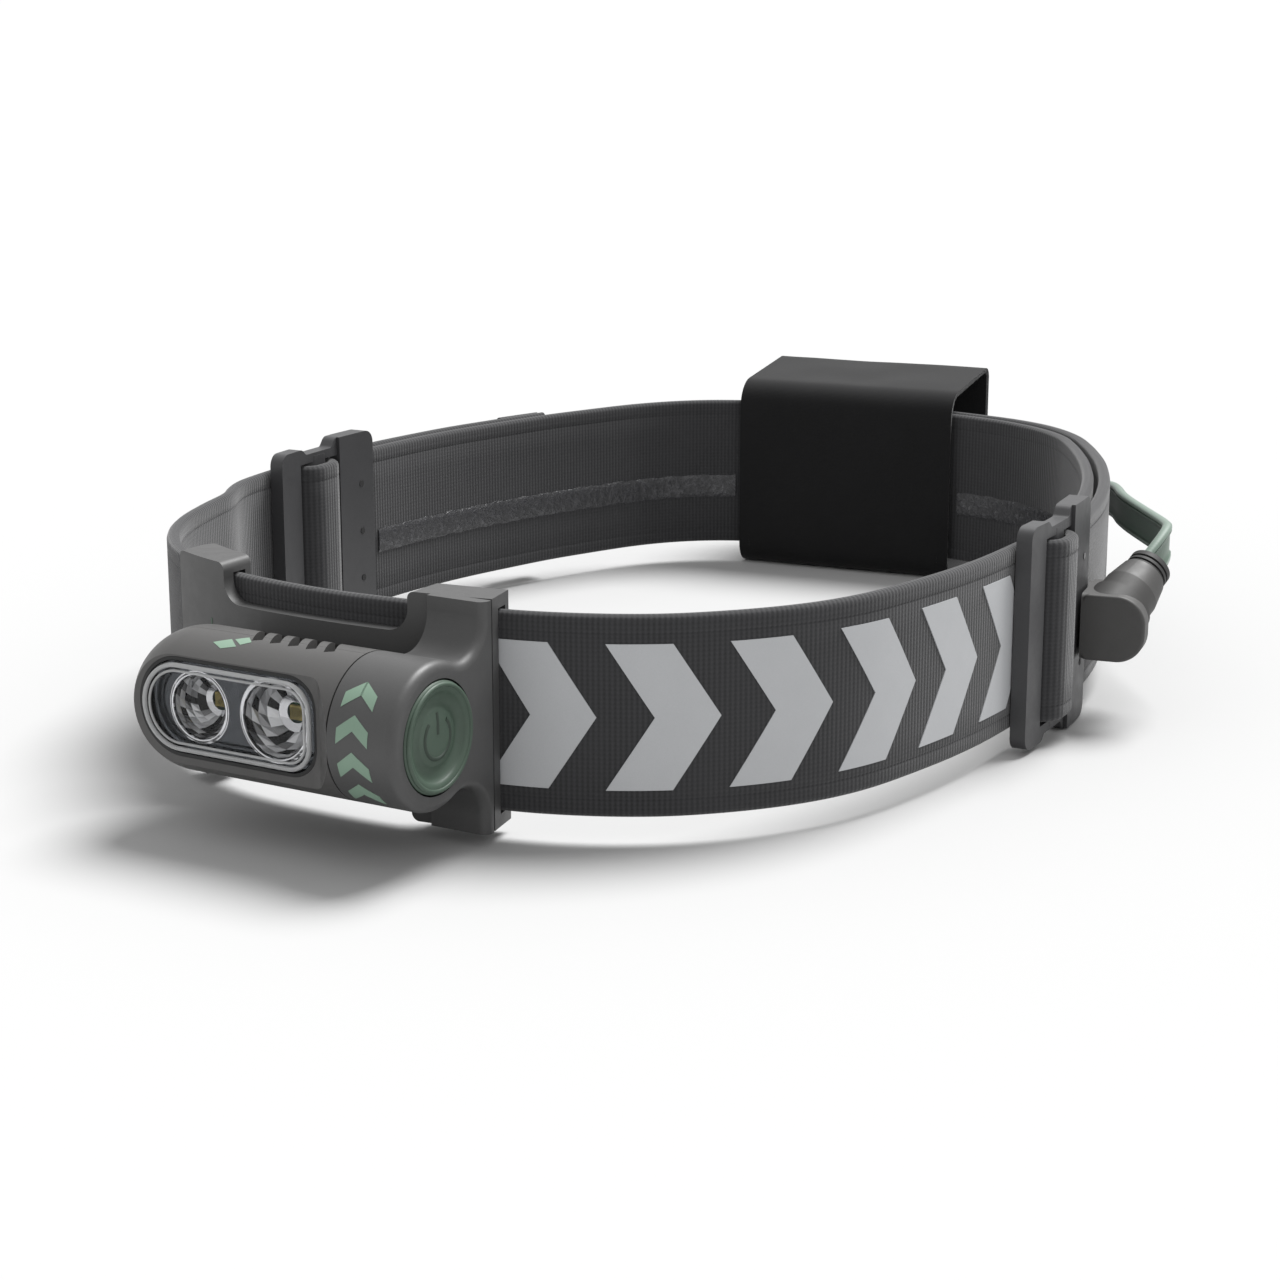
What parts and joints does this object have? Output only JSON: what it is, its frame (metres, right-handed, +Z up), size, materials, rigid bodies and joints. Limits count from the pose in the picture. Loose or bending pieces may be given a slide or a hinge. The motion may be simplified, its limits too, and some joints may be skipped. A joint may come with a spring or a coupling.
{
  "type": "headlamp",
  "caption": "Headlamp on an elastic head loop: a tilting twin-beam lamp on a bracket, two length buckles, and a battery in a rear fabric sleeve fed by a flat lead.",
  "frame": {"origin": "middle of the object's box, on the ground under it", "axes": "+X to the right of the lamp seen from in front, the lamp faces -Y, +Z up"},
  "size_m": [0.1832, 0.2784, 0.0469],
  "materials": {
    "bracket": "fine satin",
    "lamp_shell": "fine satin",
    "buckle_plastic": "satin",
    "connector_plastic": "satin",
    "black_plastic": "matt",
    "button_rubber": "matt",
    "boot_rubber": "matt",
    "seal_rubber": "matt",
    "silicone": "glossy, wavy",
    "webbing": "woven, ribbed across",
    "sleeve_fabric": "smooth and soft",
    "stitch_thread": "thread",
    "lead_sheath": "satin, ridged edges",
    "cable_black": "matt",
    "lens_clear": "clear",
    "reflector_chrome": "mirror",
    "steel": "plain",
    "sink_aluminium": "satin",
    "circuit_board": "lacquered",
    "switch_metal": "plain",
    "contact_brass": "bright",
    "cell_wrap": "foil wrap",
    "led_phosphor": "plain"
  },
  "bodies": {
    "headband": {"front_bracket": "bracket", "pivot_hub": "black_plastic", "pivot_nut": "steel", "pivot_seal": "seal_rubber", "hub_screws": "steel", "switch_board": "circuit_board", "tact_switch": "switch_metal", "button_seal": "seal_rubber", "front_band": "webbing", "rear_band": "webbing", "lamp_cable": "cable_black", "grip_strip_front": "silicone", "grip_strip_rear": "silicone", "buckle_right": "buckle_plastic", "buckle_left": "buckle_plastic", "buckle_pins_right": "stitch_thread", "buckle_pins_left": "stitch_thread", "battery_sleeve": "sleeve_fabric", "cable_socket": "connector_plastic"},
    "lamp_head": {"head_housing": "lamp_shell", "head_rear_cover": "lamp_shell", "cover_screws": "steel", "lens": "lens_clear", "lens_gasket": "seal_rubber", "optic_plate": "reflector_chrome", "reflector_spot": "reflector_chrome", "reflector_flood": "reflector_chrome", "led_board": "circuit_board", "led_chips": "led_phosphor", "led_domes": "lens_clear", "heat_sink": "sink_aluminium", "friction_washer": "steel"},
    "power_button": {"power_button": "button_rubber"},
    "battery": {"battery_tray": "black_plastic", "battery_lid": "black_plastic", "battery_screws": "steel", "battery_cell": "cell_wrap", "protection_board": "circuit_board", "charge_port": "switch_metal", "battery_gland": "seal_rubber", "lead_rear": "lead_sheath"},
    "plug": {"plug_body": "connector_plastic", "plug_contacts": "contact_brass", "plug_boot": "boot_rubber", "lead_front": "lead_sheath"}
  },
  "joints": [
    {"name": "lamp_tilt", "type": "hinge", "parent": "headband", "child": "lamp_head", "pos_m": [0.00065, -0.1267, 0.0228], "axis": [1, 0, 0], "range_deg": [0, 50]},
    {"name": "power_press", "type": "slide", "parent": "headband", "child": "power_button", "axis": [-1, 0, 0], "range_m": [0, 0.0008], "stiffness_N_per_m": 1200, "springref_m": -0.0004},
    {"name": "battery_slide", "type": "slide", "parent": "headband", "child": "battery", "axis": [0.9915, 0.1304, 0], "range_m": [0, 0.025], "deforming": ["lead_rear"]},
    {"name": "plug_pull", "type": "slide", "parent": "headband", "child": "plug", "axis": [0.169, 0.8452, 0.5071], "range_m": [0, 0.008], "deforming": ["lead_front"]}
  ]
}
